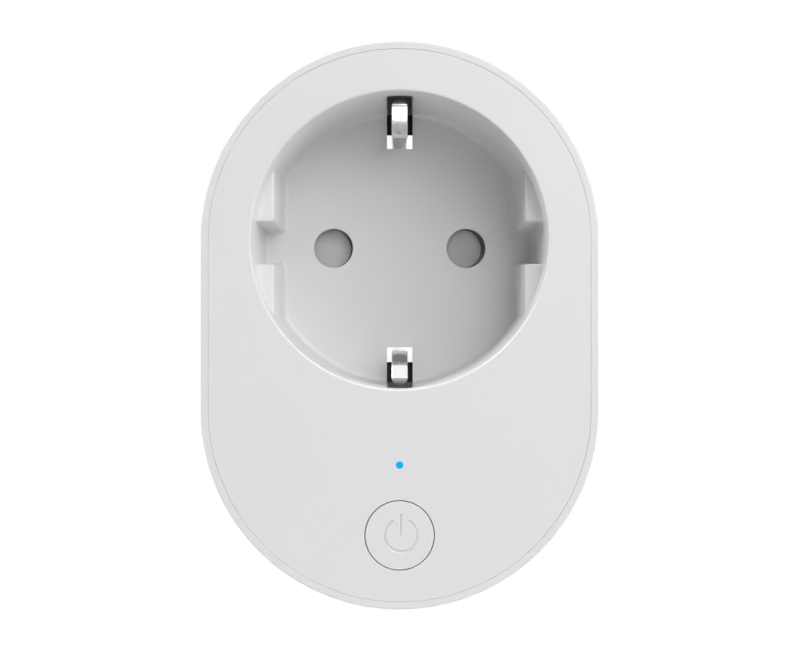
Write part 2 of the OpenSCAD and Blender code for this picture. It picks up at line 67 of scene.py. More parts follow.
X, Z = 0, 2
shell_lo, shell_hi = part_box("housing")
BODY_R = shell_hi.x * 1000  # outer radius of the body's round ends
FRONT = -shell_lo.y * 1000  # front face
JOINT = -shell_hi.y * 1000  # where the shell meets the back cover
STRAIGHT = -shell_lo.z * 1000 - BODY_R  # length of the body's straight sides
BACK = -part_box("rear_cover")[1].y * 1000  # outer face of the back cover
PLATE_BACK = FRONT - 2.2  # inner face of the front plate
LIP_R = BODY_R - 0.95  # inner edge of the shell's lip
FLOOR = FRONT - 17.5  # floor of the recess
FLOOR_BACK = FLOOR - 1.5  # its inner face
BLOCK = FRONT - 5  # top of the guide blocks
POCKET_TOP = FRONT - 3.5  # where a clip pocket ends below the rim
PIN_X = middle("neutral_pin", X)
BUTTON_Y = middle("power_button", Z) - 0.1
LIGHT_Y = middle("light_pipe", Z) - 0.07
BUTTON_R, LIGHT_R = 4.44, 0.48
SHUTTER_H, SHUTTER_TRAVEL = FLOOR_BACK - 2.9, 5.9
GUIDE_SCREW_X, GUIDE_SCREW_Y = 18, 6.4
RIVET_Y, RIVET_R = 8, 0.85
HEAD_DEPTH = 1.7  # how far the cover screws' heads are sunk
STRIP_T = 0.8  # thickness of the earth strap and the plug's earth contacts
PLUG_R = 18.5
UPPER_POST_R, UPPER_POST_ANGLE = 21.9, math.radians(40)
UPPER_POST = (UPPER_POST_R * math.cos(UPPER_POST_ANGLE), UPPER_POST_R * math.sin(UPPER_POST_ANGLE))
LOWER_POST = (21.4, -24.6)
SIDES = (-1, 1)
POSTS = [(side * x, y) for x, y in (UPPER_POST, LOWER_POST) for side in SIDES]


# ------------------------------------------------------------------ mesh tools
def arc(cx, cy, r, a0, a1, n):
    """Points on an arc, angles in degrees, both ends in."""
    angles = [math.radians(a0 + (a1 - a0) * i / n) for i in range(n + 1)]
    return [(cx + r * math.cos(a), cy + r * math.sin(a)) for a in angles]


def loft(bm, rings, closed=False):
    """Joins rings of equally many points with quads. Both ends are capped, unless closed joins them too."""
    rows = [[bm.verts.new(p) for p in ring] for ring in rings]
    pairs = list(zip(rows, rows[1:]))
    if closed:
        pairs.append((rows[-1], rows[0]))
    n = len(rows[0])
    for a, b in pairs:
        for i in range(n):
            bm.faces.new((a[i], a[(i + 1) % n], b[(i + 1) % n], b[i]))
    if not closed:
        bm.faces.new(rows[0])
        bm.faces.new(rows[-1])


def stadium(r, n=112):
    """The body's outline at radius r: two half circles of n steps joined by straight sides."""
    half = [(r * math.cos(a), r * math.sin(a)) for a in (math.pi * i / n for i in range(n + 1))]
    return half + [(-x, -y - STRAIGHT) for x, y in half]


def around(bm, profile, closed=False):
    """Carries a profile of (radius, height) once around the body's outline."""
    loft(bm, [[(x, y, h) for x, y in stadium(r)] for r, h in profile], closed)


def turned(bm, cx, cy, profile, n=64):
    """Carries a profile of (radius, height) once around a circle."""
    ring = [(math.cos(2 * math.pi * i / n), math.sin(2 * math.pi * i / n)) for i in range(n)]
    loft(bm, [[(cx + r * c, cy + r * s, h) for c, s in ring] for r, h in profile])


def block(bm, x0, x1, y0, y1, h0, h1, edge=0.0):
    """A block, with its edges rounded where edge is given."""
    made = bmesh.ops.create_cube(bm, size=1)["verts"]
    for v in made:
        v.co = Vector((x1 if v.co.x > 0 else x0, y1 if v.co.y > 0 else y0, h1 if v.co.z > 0 else h0))
    if edge:
        edges = list({e for v in made for e in v.link_edges})
        bmesh.ops.bevel(bm, geom=edges, offset=edge, segments=3, profile=0.5, affect="EDGES")


def side_block(bm, side, half_w, y0, y1, h0, h1, edge=0.0):
    """A block across the middle, from y0 to y1 above it (side 1) or below it (side -1)."""
    block(bm, -half_w, half_w, *sorted((side * y0, side * y1)), h0, h1, edge)


def prism(bm, outline, x0, x1):
    """An outline of (y, height) carried across the width."""
    loft(bm, [[(x, y, h) for y, h in outline] for x in (x0, x1)])


KEY_STEPS, WALL_STEPS, CORNER_STEPS, BLOCK_STEPS, ARC_STEPS = 4, 5, 8, 6, 44


def keyed(R, bx, kz, rv):
    """A circle of radius R cut by side blocks at |x| = bx that leave a key of half width kz, with corners of
    radius rv. Gives (point, angle on the circle, whether it lies on the circle) once around."""

    def on_circle(a):
        return (R * math.cos(a), R * math.sin(a)), a, True

    a1, a2 = math.asin(kz / R), math.acos(bx / R)
    x1, y2 = R * math.cos(a1), R * math.sin(a2)
    quarter = [on_circle(a1 * i / KEY_STEPS) for i in range(KEY_STEPS)]
    block_line = [(x1 + (bx + rv - x1) * i / WALL_STEPS, kz) for i in range(WALL_STEPS)]
    block_line += arc(bx + rv, kz + rv, rv, -90, -180, CORNER_STEPS)[:-1]
    block_line += [(bx, kz + rv + (y2 - kz - rv) * i / BLOCK_STEPS) for i in range(BLOCK_STEPS)]
    quarter += [(p, a1 + (a2 - a1) * i / len(block_line), i == 0) for i, p in enumerate(block_line)]
    quarter += [on_circle(a2 + (math.pi / 2 - a2) * i / ARC_STEPS) for i in range(ARC_STEPS + 1)]
    out = list(quarter)
    out += [((-x, y), math.pi - a, on) for (x, y), a, on in reversed(quarter[:-1])]
    out += [((-x, -y), math.pi + a, on) for (x, y), a, on in quarter[1:]]
    out += [((x, -y), -a, on) for (x, y), a, on in reversed(quarter[1:-1])]
    return out


def keyed_solid(bm, sections, upper):
    """Lofts keyed outlines (height, R, bx, kz, rv) up to a flat step, then full circles (height, R)."""
    rows = []
    for h, *shape in sections:
        rows.append([bm.verts.new((x, y, h)) for (x, y), _, _ in keyed(*shape)])
    step_h, R, *_ = sections[-1]
    last = keyed(*sections[-1][1:])
    on_circle = [on for _, _, on in last]
    ring = []
    for v, (_, a, on) in zip(rows[-1], last):
        ring.append(v if on else bm.verts.new((R * math.cos(a), R * math.sin(a), step_h)))
    n = len(ring)
    i = 0
    while i < n:  # each stretch off the circle gets one flat face between the outline and the circle
        j = i + 1
        if on_circle[i] and not on_circle[j % n]:
            while not on_circle[j % n]:
                j += 1
            run = [k % n for k in range(i, j + 1)]
            bm.faces.new([rows[-1][k] for k in run] + [ring[k] for k in reversed(run[1:-1])])
        i = j
    circles = [ring]
    for h, r in upper:
        circles.append([bm.verts.new((r * math.cos(a), r * math.sin(a), h)) for _, a, _ in last])
    for stack in (rows, circles):
        for a, b in zip(stack, stack[1:]):
            for i in range(n):
                bm.faces.new((a[i], a[(i + 1) % n], b[(i + 1) % n], b[i]))
    bm.faces.new(rows[0])
    bm.faces.new(circles[-1])


def tangent(line, i):
    """The direction of a polyline at its point i."""
    p, q = line[max(0, i - 1)], line[min(len(line) - 1, i + 1)]
    return Vector((q[0] - p[0], q[1] - p[1])).normalized()


def strip(bm, line, width, thick, edge=0.1, narrow=None):
    """Sheet metal: a strip that follows a line of (y, height), with rounded long edges.
    narrow(y, h) scales the width on the way."""
    u, v = width / 2 - edge, thick / 2 - edge
    section = []
    for cx, cy, a in ((u, v, 0), (-u, v, 90), (-u, -v, 180), (u, -v, 270)):
        section += arc(cx, cy, edge, a, a + 90, 4)
    rings = []
    for i, (y, h) in enumerate(line):
        t = tangent(line, i)
        ring = [(x, y - t.y * d, h + t.x * d) for x, d in section]
        rings.append([(px * narrow(py, ph), py, ph) for px, py, ph in ring] if narrow else ring)
    loft(bm, rings)


def rounded(points, r, n=6):
    """A polyline of (y, height) with each inner corner replaced by an arc of radius r."""
    out = [points[0]]
    for a, b, c in zip(points, points[1:], points[2:]):
        a, b, c = Vector(a), Vector(b), Vector(c)
        u, v = (a - b).normalized(), (c - b).normalized()
        half = math.acos(max(-1, min(1, u.dot(v)))) / 2
        d = r / math.tan(half)
        centre = b + (u + v).normalized() * (r / math.sin(half))
        s, e = b + u * d - centre, b + v * d - centre
        a0, a1 = math.atan2(s.y, s.x), math.atan2(e.y, e.x)
        if a1 - a0 > math.pi:
            a1 -= 2 * math.pi
        if a0 - a1 > math.pi:
            a1 += 2 * math.pi
        out += arc(centre.x, centre.y, r, math.degrees(a0), math.degrees(a1), n)
    out.append(points[-1])
    return [tuple(p) for p in out]


def mirror_y(bm):
    """Turns what was drawn above the middle upside down."""
    for v in bm.verts:
        v.co.y = -v.co.y


def solid(build):
    """A scratch object from a function that fills a bmesh."""
    bm = bmesh.new()
    build(bm)
    bmesh.ops.recalc_face_normals(bm, faces=bm.faces)
    me = bpy.data.meshes.new("solid")
    bm.to_mesh(me)
    bm.free()
    ob = bpy.data.objects.new("solid", me)
    bpy.context.scene.collection.objects.link(ob)
    return ob


def combine(target, build, operation="DIFFERENCE"):
    """Cuts a shape out of target, or adds it."""
    tool = solid(build)
    mod = target.modifiers.new("cut", "BOOLEAN")
    mod.object, mod.operation, mod.solver = tool, operation, "EXACT"
    done = bpy.data.meshes.new_from_object(target.evaluated_get(bpy.context.evaluated_depsgraph_get()))
    target.modifiers.clear()
    old, target.data = target.data, done
    bpy.data.meshes.remove(old)
    bpy.data.meshes.remove(tool.data)
    return target


SLIVER = 0.0004  # millimetres


def finish_piece(ob, name, body, material, node, angle=32):
    """Turns a scratch object into a piece in place of a CAD node: clean mesh, shading, material and body."""
    bm = bmesh.new()
    bm.from_mesh(ob.data)
    bmesh.ops.remove_doubles(bm, verts=bm.verts, dist=SLIVER)
    bmesh.ops.dissolve_degenerate(bm, edges=bm.edges, dist=SLIVER)
    bmesh.ops.recalc_face_normals(bm, faces=bm.faces)
    for f in bm.faces:
        f.smooth = True
    limit = math.radians(angle)
    for e in bm.edges:
        e.smooth = len(e.link_faces) == 2 and e.calc_face_angle(math.pi) < limit
    bm.transform(LOCAL)
    bm.to_mesh(ob.data)
    bm.free()
    ob.name = ob.data.name = name
    weighted = ob.modifiers.new("normals", "WEIGHTED_NORMAL")
    weighted.keep_sharp = True
    weighted.weight = 80
    ob.data.materials.clear()
    ob.data.materials.append(material)
    if body:
        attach(ob, body)
    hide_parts(node)


# ------------------------------------------------------------------ materials
def material(name, color, rough, metal=0.0, fine=0.0, fine_scale=4000, grain=0.03, grain_scale=700,
             stretch=(1, 1, 1), coat=0.0, ior=1.46, emission=None, spread=0.03):
    """A moulded or sheet material: its colour drifts by grain, its roughness by spread, and fine is the depth
    of its surface texture. stretch draws the patterns out along an axis; emission is (colour, strength)."""
    m = bpy.data.materials.new(name)
    m.use_nodes = True
    nt = m.node_tree
    nodes, links = nt.nodes, nt.links
    b = nodes["Principled BSDF"]
    b.inputs["Metallic"].default_value = metal
    b.inputs["IOR"].default_value = ior
    b.inputs["Coat Weight"].default_value = coat
    coord = nodes.new("ShaderNodeTexCoord")
    mapping = nodes.new("ShaderNodeMapping")
    mapping.inputs["Scale"].default_value = stretch
    links.new(coord.outputs["Object"], mapping.inputs["Vector"])

    def noise(scale, detail):
        node = nodes.new("ShaderNodeTexNoise")
        node.inputs["Scale"].default_value = scale
        node.inputs["Detail"].default_value = detail
        links.new(mapping.outputs["Vector"], node.inputs["Vector"])
        return node

    broad = noise(grain_scale * 0.12, 2)
    mix = nodes.new("ShaderNodeMix")
    mix.data_type = "RGBA"
    dark = tuple(c * (1 - grain) for c in color)
    mix.inputs["A"].default_value = (*dark, 1)
    mix.inputs["B"].default_value = (*color, 1)
    links.new(broad.outputs["Fac"], mix.inputs["Factor"])
    links.new(mix.outputs["Result"], b.inputs["Base Color"])
    middle = noise(grain_scale, 4)
    spread_node = nodes.new("ShaderNodeMapRange")
    spread_node.inputs["From Min"].default_value = 0.3
    spread_node.inputs["From Max"].default_value = 0.7
    spread_node.inputs["To Min"].default_value = max(0.02, rough - spread)
    spread_node.inputs["To Max"].default_value = min(1, rough + spread)
    links.new(middle.outputs["Fac"], spread_node.inputs["Value"])
    links.new(spread_node.outputs["Result"], b.inputs["Roughness"])
    if fine:
        tex = noise(fine_scale, 3)
        bump = nodes.new("ShaderNodeBump")
        bump.inputs["Strength"].default_value = fine
        bump.inputs["Distance"].default_value = 0.00002
        links.new(tex.outputs["Fac"], bump.inputs["Height"])
        links.new(bump.outputs["Normal"], b.inputs["Normal"])
    if emission:
        b.inputs["Emission Color"].default_value = (*emission[0], 1)
        b.inputs["Emission Strength"].default_value = emission[1]
    return m


WHITE = (0.80, 0.80, 0.802)
M = {
    "white_shell": material("satin_white_shell", WHITE, 0.34, fine=0.10, grain=0.012),
    "white_cover": material("satin_white_plate", WHITE, 0.34, fine=0.10, grain=0.012),
    "white_button": material("satin_white_button", WHITE, 0.34, fine=0.08, grain=0.012),
    "inner_white": material("plain_white_moulding", (0.63, 0.63, 0.63), 0.55, fine=0.15, grain=0.03),
    "nickel_brass": material("nickel_plate", (0.74, 0.735, 0.72), 0.22, metal=1, fine=0.10,
                             stretch=(1, 0.04, 1), grain=0.05, spread=0.06),
    "earth_metal": material("bright_nickel_strip", (0.92, 0.92, 0.915), 0.10, metal=1, fine=0.04,
                            stretch=(1, 0.04, 0.04), grain=0.04, spread=0.04),
    "contact_brass": material("bare_brass", (0.80, 0.60, 0.27), 0.30, metal=1, fine=0.12, grain=0.12,
                              spread=0.08),
    "copper": material("bare_copper", (0.80, 0.42, 0.26), 0.32, metal=1, fine=0.12, grain=0.14, spread=0.08),
    "black_plastic": material("black_moulding", (0.012, 0.012, 0.013), 0.50, fine=0.25, grain=0.2),
    "relay_black": material("glossy_relay_case", (0.015, 0.015, 0.018), 0.22, fine=0.06, grain=0.2, coat=0.3),
    "spring_steel": material("drawn_wire", (0.60, 0.60, 0.61), 0.28, metal=1, fine=0.10, grain=0.08,
                             spread=0.05),
    "screw_steel": material("zinc_plate", (0.62, 0.62, 0.64), 0.30, metal=1, fine=0.15, grain=0.10,
                            spread=0.08),
    "soft_iron": material("soft_iron", (0.48, 0.48, 0.50), 0.42, metal=1, fine=0.25, grain=0.12, spread=0.08),
    "light_blue": material("lit_light_pipe", (0.001, 0.02, 0.03), 0.35, fine=0.05, grain=0.02,
                           emission=((0.0, 0.40, 0.92), 1.0), ior=1.2),
    "led_blue": material("lit_diode", (0.05, 0.30, 0.60), 0.25, grain=0.05,
                         emission=((0.02, 0.35, 0.95), 2.0)),
    "board_green": material("green_solder_mask", (0.012, 0.13, 0.045), 0.30, fine=0.12, grain=0.25,
                            coat=0.25),
    "board_blue": material("blue_solder_mask", (0.008, 0.025, 0.12), 0.30, fine=0.12, grain=0.25, coat=0.25),
    "tin": material("tinned_sheet", (0.74, 0.74, 0.75), 0.26, metal=1, fine=0.20, grain=0.06, spread=0.07),
    "winding": material("enamelled_wire", (0.62, 0.20, 0.07), 0.28, metal=1, fine=0.35, fine_scale=2500,
                        stretch=(4, 0.3, 0.3), grain=0.2),
    "tape_yellow": material("yellow_tape", (0.78, 0.52, 0.05), 0.28, fine=0.15, grain=0.08, coat=0.2),
    "capacitor_blue": material("dark_sleeve", (0.018, 0.03, 0.075), 0.26, fine=0.08, grain=0.15, coat=0.3),
    "capacitor_yellow": material("yellow_capacitor", (0.76, 0.50, 0.02), 0.30, fine=0.10, grain=0.08),
    "varistor_blue": material("blue_epoxy", (0.02, 0.10, 0.42), 0.30, fine=0.35, fine_scale=1500,
                              grain=0.15, coat=0.3),
    "fuse_ceramic": material("white_ceramic", (0.72, 0.70, 0.62), 0.42, fine=0.20, grain=0.06),
    "ferrite": material("ferrite", (0.02, 0.02, 0.021), 0.48, fine=0.45, fine_scale=2200, grain=0.3),
    "sleeve_green": material("green_sleeve", (0.02, 0.14, 0.05), 0.38, fine=0.15, grain=0.1),
    "chip_black": material("epoxy_package", (0.01, 0.01, 0.011), 0.60, fine=0.35, grain=0.25),
    "shunt_alloy": material("resistance_alloy", (0.55, 0.40, 0.30), 0.36, metal=1, fine=0.15, grain=0.1),
}


def dull_tip_shaded_leg(m, middle_z, tip_start, shade_start, shade_end):
    """Makes a clip's bare tip a dull grey past a distance from the middle of the plug, and paints shade on
    its leg:
    its base colour turns a darker grey deep in the slot, where the leg lies in shade. The painted shade
    begins between two depths. All are in metres."""
    nodes, links = m.node_tree.nodes, m.node_tree.links
    b = nodes["Principled BSDF"]

    def math_node(operation, a, c):
        """One sum on two values, each a number or a socket."""
        node = nodes.new("ShaderNodeMath")
        node.operation = operation
        for k, value in enumerate((a, c)):
            if isinstance(value, (int, float)):
                node.inputs[k].default_value = value
            else:
                links.new(value, node.inputs[k])
        return node.outputs["Value"]

    def step(value, start, end):
        """0 before start and 1 past end."""
        node = nodes.new("ShaderNodeMapRange")
        node.inputs["From Min"].default_value = start
        node.inputs["From Max"].default_value = end
        links.new(value, node.inputs["Value"])
        return node.outputs["Result"]

    def blend_in(name, level, factor):
        """Mixes a grey level into what an input of the shader already gets."""
        mix = nodes.new("ShaderNodeMix")
        mix.data_type = "RGBA"
        links.new(b.inputs[name].links[0].from_socket, mix.inputs["A"])
        mix.inputs["B"].default_value = (*level, 1)
        links.new(factor, mix.inputs["Factor"])
        links.new(mix.outputs["Result"], b.inputs[name])

    place = nodes.new("ShaderNodeSeparateXYZ")
    links.new(nodes.new("ShaderNodeTexCoord").outputs["Object"], place.inputs["Vector"])
    off_middle = math_node("SUBTRACT", place.outputs["Z"], middle_z)
    tip = step(math_node("ABSOLUTE", off_middle, 0), tip_start, tip_start + 0.00006)
    leg = step(place.outputs["Y"], shade_start, shade_end)
    links.new(math_node("SUBTRACT", 1, tip), b.inputs["Metallic"])
    # painted shade: deep in the slot the leg's base colour turns a darker grey, standing in for the shade
    # there
    blend_in("Base Color", (0.46, 0.46, 0.465), leg)
    blend_in("Base Color", (0.33, 0.33, 0.332), tip)
    blend_in("Roughness", (0.55, 0.55, 0.55), tip)
    return m


def dress_cad_nodes():
    """Gives every CAD node that stays visible the material of its slot."""
    for part in frame["record"]["subparts"]:
        ob = frame["nodes"][part["node"]]
        ob.data.materials.clear()
        ob.data.materials.append(M[part["material_slot"]])


dress_cad_nodes()


# ------------------------------------------------------------------ shell
def shell(bm):
    """The side wall, with a lip that frames the front plate and a groove for the back cover."""
    edge, lip_edge, joint_edge = 0.14, 0.05, 0.06
    wall_in, groove_in, groove_out, groove_h = BODY_R - 2, BODY_R - 1.45, BODY_R - 0.75, JOINT + 0.9
    profile = [(BODY_R, JOINT + joint_edge)]
    profile += arc(BODY_R - edge, FRONT - edge, edge, 0, 90, 6)
    profile += arc(LIP_R + lip_edge, FRONT - lip_edge, lip_edge, 90, 180, 3)
    profile += [(LIP_R, PLATE_BACK - 0.03), (wall_in, PLATE_BACK - 0.03), (wall_in, JOINT)]
    profile += [(groove_in, JOINT), (groove_in, groove_h), (groove_out, groove_h), (groove_out, JOINT)]
    profile += [(BODY_R - joint_edge, JOINT)]
    around(bm, profile, closed=True)


finish_piece(solid(shell), "shell", "base", M["white_shell"], "housing")


# ------------------------------------------------------------------ front plate
def slab(bm):
    """The flat plate, a hair's breadth inside the lip."""
    r, edge = LIP_R - 0.025, 0.05
    around(bm, [(r, PLATE_BACK)] + arc(r - edge, FRONT - edge, edge, 0, 90, 3))


def recess(bm):
    """The space of the socket: keyed between the guide blocks, round above them, with rounded edges."""
    foot, top, rim, corner = 0.75, 0.3, 0.25, 0.38
    foot_wall, mouth_wall, foot_block, block_draft, foot_key, key_draft = 19.3, 19.37, 16.6, 0.2, 2.4, 0.45

    def at(h):
        up_wall = (h - FLOOR) / (FRONT - 0.2 - FLOOR)
        up_block = (h - FLOOR) / (BLOCK - FLOOR)
        return (
            foot_wall + (mouth_wall - foot_wall) * up_wall,
            foot_block + block_draft * up_block,
            foot_key + key_draft * up_block,
        )

    sections = []
    for inset, rise in arc(foot, foot, foot, 270, 180, 8):  # the fillet at the floor, from the floor up
        R, bx, kz = at(FLOOR + rise)
        sections.append((FLOOR + rise, R - inset, bx - inset, kz - inset * 0.7, corner + inset))
    for outset, rise in arc(top, 0, top, 180, 90, 6):  # the rounding at the top of the guide blocks
        h = BLOCK - top + rise
        R, bx, kz = at(h)
        sections.append((h, R, bx + outset, kz + outset * 0.6, corner - outset))
    mouth = [(h, r) for r, h in arc(mouth_wall + rim, FRONT - rim, rim, 180, 90, 8)]
    keyed_solid(bm, sections, mouth + [(FRONT + 1, mouth_wall + rim)])


def cup(bm):
    """The outside of the recess, seen from inside the body."""
    turned(bm, 0, 0, [(20.9, FLOOR_BACK), (20.9, PLATE_BACK + 1)], 160)


def pockets(bm):
    """The outside of the two clip pockets."""
    for side in SIDES:
        side_block(bm, side, 3.2, 18.5, 22.8, FLOOR_BACK, PLATE_BACK + 1)


def posts(bm):
    """The posts that take the cover's screws, and the four that the control board stands against."""
    places = [(x, y, 1.8, JOINT) for x, y in POSTS]
    places += [(side * x, y, 1.5, 37) for side in SIDES for x, y in ((14, -27.6), (9, -41.6))]
    for x, y, r, h in places:
        turned(bm, x, y, [(r, h), (r, PLATE_BACK + 1)], 32)


def rails(bm):
    """The rails that the shutter slides in, the rib for its spring and the bosses of the guide plate."""
    top = FLOOR_BACK + 0.2

    def rail(x0, x1, side):
        outline = [(3.5, SHUTTER_H), (4.7, SHUTTER_H), (4.7, top), (2.95, top)]
        outline += [(2.95, SHUTTER_H + 1.1), (3.5, SHUTTER_H + 1.1)]
        prism(bm, [(side * y, h) for y, h in outline], x0, x1)

    rail(-19, 19, -1)
    rail(-19, 0.4, 1)
    rail(8.9, 19, 1)
    block(bm, -11.4, -10.2, 4.9, 7.4, SHUTTER_H, top)
    for side in SIDES:
        turned(bm, side * GUIDE_SCREW_X, GUIDE_SCREW_Y, [(1.3, 21.5), (1.3, top)], 24)


def holes(bm):
    """The pin holes, the holes for the button and the light, and the screw holes."""
    for side in SIDES:
        profile = [(2.8, FLOOR_BACK - 1), (2.8, FLOOR - 0.06), (2.82, FLOOR - 0.025), (2.86, FLOOR)]
        turned(bm, side * PIN_X, 0, profile + [(2.86, FLOOR + 1)], 96)
        turned(bm, side * GUIDE_SCREW_X, GUIDE_SCREW_Y, [(0.55, 20.6), (0.55, FLOOR_BACK - 0.6)], 16)
    for r, y, n, edge in ((BUTTON_R + 0.13, BUTTON_Y, 128, 0.04), (LIGHT_R + 0.007, LIGHT_Y, 64, 0.02)):
        mouth = arc(r + edge, FRONT - edge, edge, 180, 90, 3)
        turned(bm, 0, y, [(r, PLATE_BACK - 1)] + mouth + [(r + edge, FRONT + 1)], n)
    for x, y in POSTS:
        turned(bm, x, y, [(0.85, JOINT - 1), (0.85, JOINT + 9)], 24)


def slots(bm):
    """The slots that the clips stand in, through the recess floor."""
    for side in SIDES:
        side_block(bm, side, 1.845, 14.2, 19.3, FLOOR_BACK - 1, FLOOR + 0.3)


def slot_tops(bm):
    """The clip pockets behind the recess wall, a little narrower towards the front."""
    for side in SIDES:
        rings = []
        for w, h in ((1.85, FLOOR), (1.73, POCKET_TOP)):
            rings.append([(x, side * y, h) for x, y in ((-w, 14.1), (w, 14.1), (w, 21.6), (-w, 21.6))])
        loft(bm, rings)


plate = solid(slab)
for add in (cup, pockets, posts):
    combine(plate, add, "UNION")
combine(plate, recess)
combine(plate, rails, "UNION")
for cut in (holes, slots, slot_tops):
    combine(plate, cut)
finish_piece(plate, "front_plate", "base", M["white_cover"], "front_cover")


# ------------------------------------------------------------------ back cover and plug body
HUB_R = PLUG_R + 0.02  # the round hole in the back cover that the plug body stands in


def flange(bm):
    """The back cover's ring, with a tongue that fits the shell's groove."""
    edge, joint_edge = 2.5, 0.06
    tongue_in, tongue_out, tongue_h = BODY_R - 1.4, BODY_R - 0.8, JOINT + 0.8
    profile = [(HUB_R, BACK)] + arc(BODY_R - edge, BACK + edge, edge, -90, 0, 12)
    profile += [(BODY_R, JOINT - joint_edge), (BODY_R - joint_edge, JOINT)]
    profile += [(tongue_out, JOINT), (tongue_out, tongue_h), (tongue_in, tongue_h), (tongue_in, JOINT)]
    around(bm, profile + [(HUB_R, JOINT)], closed=True)


def flange_centre(bm):
    """Closes the middle of the flange below the round hole for the plug body."""
    loft(bm, [[(x, y, h) for x, y in stadium(20.5)] for h in (BACK, JOINT)])


def flange_holes(bm):
    """The hole for the plug body and the screw holes with the seats of their heads."""
    turned(bm, 0, 0, [(HUB_R, BACK - 1), (HUB_R, JOINT + 1)], 160)
    seat = BACK + HEAD_DEPTH
    profile = [(2.05, BACK - 1), (2.05, BACK), (1.9, BACK + 0.15), (1.9, seat)]
    profile += [(0.95, seat), (0.95, JOINT + 1)]
    for x, y in POSTS:
        turned(bm, x, y, profile, 40)


def guide_pockets(bm):
    """Room for the heads of the guide plate's screws."""
    for side in SIDES:
        turned(bm, side * GUIDE_SCREW_X, GUIDE_SCREW_Y, [(1.4, JOINT - 0.8), (1.4, JOINT + 1)], 24)


def boss(bm):
    """The plug body: keyed like the recess, and round where it meets the back cover."""
    edge, step_edge, block_x, key, corner, step_h = 0.4, 0.2, 16.4, 2.2, 0.3, 12.8
    sections = []
    for inset, rise in arc(edge, edge, edge, 270, 180, 4):
        sections.append((rise, PLUG_R - inset, block_x - inset, key - inset, corner + inset))
    for outset, rise in arc(step_edge, 0, step_edge, 180, 90, 4):
        sections.append((step_h + rise, PLUG_R, block_x + outset, key + outset, corner - outset))
    keyed_solid(bm, sections, [(JOINT, PLUG_R)])


def boss_cuts(bm):
    """The pin holes with their collars, the slots for the earth strips and the grooves that these lie in."""
    chamfer, groove = 0.12, 2.7
    profile = [(2.55, -1), (2.55, 0), (2.45, 0.1), (2.45, 0.6), (1.93, 0.6), (1.93, 3)]
    widths = ((groove + chamfer, -1), (groove + chamfer, 0), (groove, chamfer), (groove, 16.1))
    for side in SIDES:
        turned(bm, side * PIN_X, 0, profile, 64)
        side_block(bm, side, 2.35, 13, 15.5, 15.15, 16.05)
        loft(bm, [[(x, side * y, h) for x, y in ((-w, 15), (w, 15), (w, 20), (-w, 20))] for w, h in widths])


def boss_hollow(bm):
    """The inside of the plug body: its sides are round with a flat middle, and it is flat above and below."""
    r, flat_x = 16.5, 14.6
    a = math.degrees(math.asin(13.4 / r))
    half = [(min(x, flat_x), y) for x, y in arc(0, 0, r, -a, a, 24)]
    outline = half + [(-x, -y) for x, y in half]
    loft(bm, [[(x, y, h) for x, y in outline] for h in (2.5, JOINT + 1)])


back = solid(flange_centre)
combine(back, flange, "UNION")
combine(back, flange_holes)
combine(back, guide_pockets)
finish_piece(back, "back_cover", "base", M["white_shell"], "rear_cover")
plug = solid(boss)
for cut in (boss_hollow, boss_cuts, guide_pockets):
    combine(plug, cut)
finish_piece(plug, "plug_shell", "base", M["white_shell"], "plug_body")


# ------------------------------------------------------------------ earth clips and strap
CLIP_W, CLIP_T = 2.15, 0.5
ROOT_R, ROOT_H = 16.3, FLOOR_BACK + 0.1
CLIP_IN, BULGE_H, CLIP_BEND = 14.5, 34.7, 2.5  # how far in the clip bulges, where, and how round the bend is
STEEP, KNEE_R, SLOPE = 52, 16.3, 35  # the slopes below and above the knee, in degrees
TIP_R, NOSE = 19.0, 0.65


def sine(angle):
    """The sine of an angle in degrees."""
    return math.sin(math.radians(angle))


def cosine(angle):
    """The cosine of an angle in degrees."""
    return math.cos(math.radians(angle))


def between(p, q, steps):
    """Points from p to q in equal steps, without q."""
    return [(p[0] + (q[0] - p[0]) * i / steps, p[1] + (q[1] - p[1]) * i / steps) for i in range(steps)]


def clip_line():
    """The middle of the clip's thickness as (y, height): root, bulge, steep part, lead-in, bent tip."""
    t = CLIP_T / 2
    bulge_r = CLIP_IN + CLIP_BEND
    rise, run = BULGE_H - ROOT_H, bulge_r - ROOT_R
    leg = 180 + math.degrees(math.atan2(rise, run) - math.acos(CLIP_BEND / math.hypot(run, rise)))
    steep_r, steep_h = bulge_r - CLIP_BEND * sine(STEEP), BULGE_H + CLIP_BEND * cosine(STEEP)
    knee_h = steep_h + (KNEE_R - steep_r) * math.tan(math.radians(STEEP))
    nose_r = TIP_R - NOSE
    lead_in = (nose_r - NOSE * sine(SLOPE) - KNEE_R) * math.tan(math.radians(SLOPE))
    nose_h = knee_h + lead_in - NOSE * cosine(SLOPE)
    mean = (STEEP + SLOPE) / 2
    knee = (KNEE_R + t * sine(mean), knee_h - t * cosine(mean))
    bulge = arc(bulge_r, BULGE_H, CLIP_BEND - t, leg, 90 + STEEP, 24)
    nose = arc(nose_r, nose_h, NOSE - t, 90 + SLOPE, 0, 16)
    line = between((ROOT_R + t, ROOT_H), bulge[0], 8) + bulge[:-1]
    bend = rounded([bulge[-1], knee, nose[0]], 2.4, 8)
    for p, q in zip(bend, bend[1:]):
        line += between(p, q, 5 if math.dist(p, q) > 0.5 else 1)
    end_y, end_h = nose[-1]
    return line + nose + [(end_y, end_h - 0.2), (end_y, end_h - 0.4)]


def clip(bm):
    """The upper clip, with a half-round end."""
    r, centre = CLIP_W / 2, TIP_R - 1.06

    def narrow(y, h):
        return math.sqrt(max(0.0, r * r - (y - centre) ** 2)) / r if y > centre and h > BULGE_H else 1.0

    strip(bm, clip_line(), CLIP_W, CLIP_T, 0.10, narrow)


def lower(build):
    """The same shape, for the lower side."""

    def turned_down(bm):
        build(bm)
        mirror_y(bm)

    return turned_down


